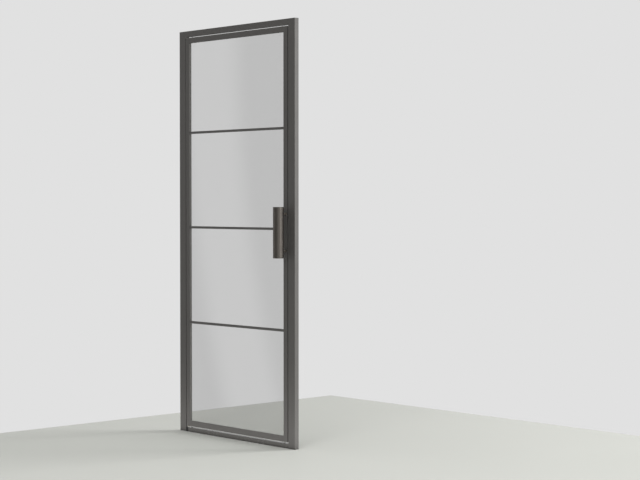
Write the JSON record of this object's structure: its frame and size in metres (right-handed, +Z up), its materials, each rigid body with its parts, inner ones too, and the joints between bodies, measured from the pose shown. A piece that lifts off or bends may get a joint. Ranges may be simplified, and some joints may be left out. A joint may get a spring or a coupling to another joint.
{
  "type": "framed glass pivot door",
  "caption": "Tall slim metal-framed glass door with thin horizontal glazing bars, turning on pivots in its own frame, with a round vertical pull grip.",
  "frame": {"origin": "middle of the sill's underside, on the floor, half-way through the depth of the frame", "axes": "+X across the door from the pivots to the grip, +Y from the grip side to the far side, +Z up"},
  "size_m": [0.908, 0.1, 2.1],
  "materials": {
    "dark_metal": "satin dark bronze grey powder coat",
    "grip_metal": "satin dark bronze grey coat, slightly glossier",
    "clear_glass": "clear float glass, polished",
    "black_plastic": "matte moulded",
    "white_plastic": "plain moulded",
    "grey_rubber": "matte extruded, grey",
    "cast_metal": "sawn and drilled",
    "steel": "turned, zinc plated",
    "bronze": "sintered"
  },
  "bodies": {
    "frame": {"left_jamb": "dark_metal", "right_jamb": "dark_metal", "head": "dark_metal", "sill": "dark_metal", "top_left_plug": "black_plastic", "top_right_plug": "black_plastic", "bottom_left_plug": "black_plastic", "bottom_right_plug": "black_plastic", "top_pivot_block": "cast_metal", "head_block": "cast_metal", "sill_block": "cast_metal", "bottom_pivot_shoe": "black_plastic", "top_pivot_bush": "bronze", "bottom_pivot_pin": "steel", "thrust_washer": "white_plastic", "block_screws": "steel", "lock_screws": "dark_metal"},
    "leaf": {"left_stile": "dark_metal", "right_stile": "dark_metal", "top_rail": "dark_metal", "bottom_rail": "dark_metal", "top_left_cleat": "cast_metal", "top_right_cleat": "cast_metal", "bottom_left_cleat": "cast_metal", "bottom_right_cleat": "cast_metal", "cleat_screws": "dark_metal", "top_pivot_pin": "steel", "bottom_pivot_bush": "bronze", "glass_pane": "clear_glass", "setting_blocks": "black_plastic", "front_gasket": "grey_rubber", "back_gasket": "grey_rubber", "front_upper_bar": "dark_metal", "front_middle_bar": "dark_metal", "front_lower_bar": "dark_metal", "back_upper_bar": "dark_metal", "back_middle_bar": "dark_metal", "back_lower_bar": "dark_metal", "bar_tapes": "black_plastic", "grip_tube": "grip_metal", "grip_top_cap": "grip_metal", "grip_bottom_cap": "grip_metal", "upper_post": "grip_metal", "lower_post": "grip_metal", "grip_bolts": "steel", "grip_washers": "steel"}
  },
  "joints": [
    {"name": "leaf_pivot", "type": "hinge", "parent": "frame", "child": "leaf", "pos_m": [-0.39, -0.004, 0.03], "axis": [0, 0, 1], "range_deg": [-90, 0]}
  ]
}
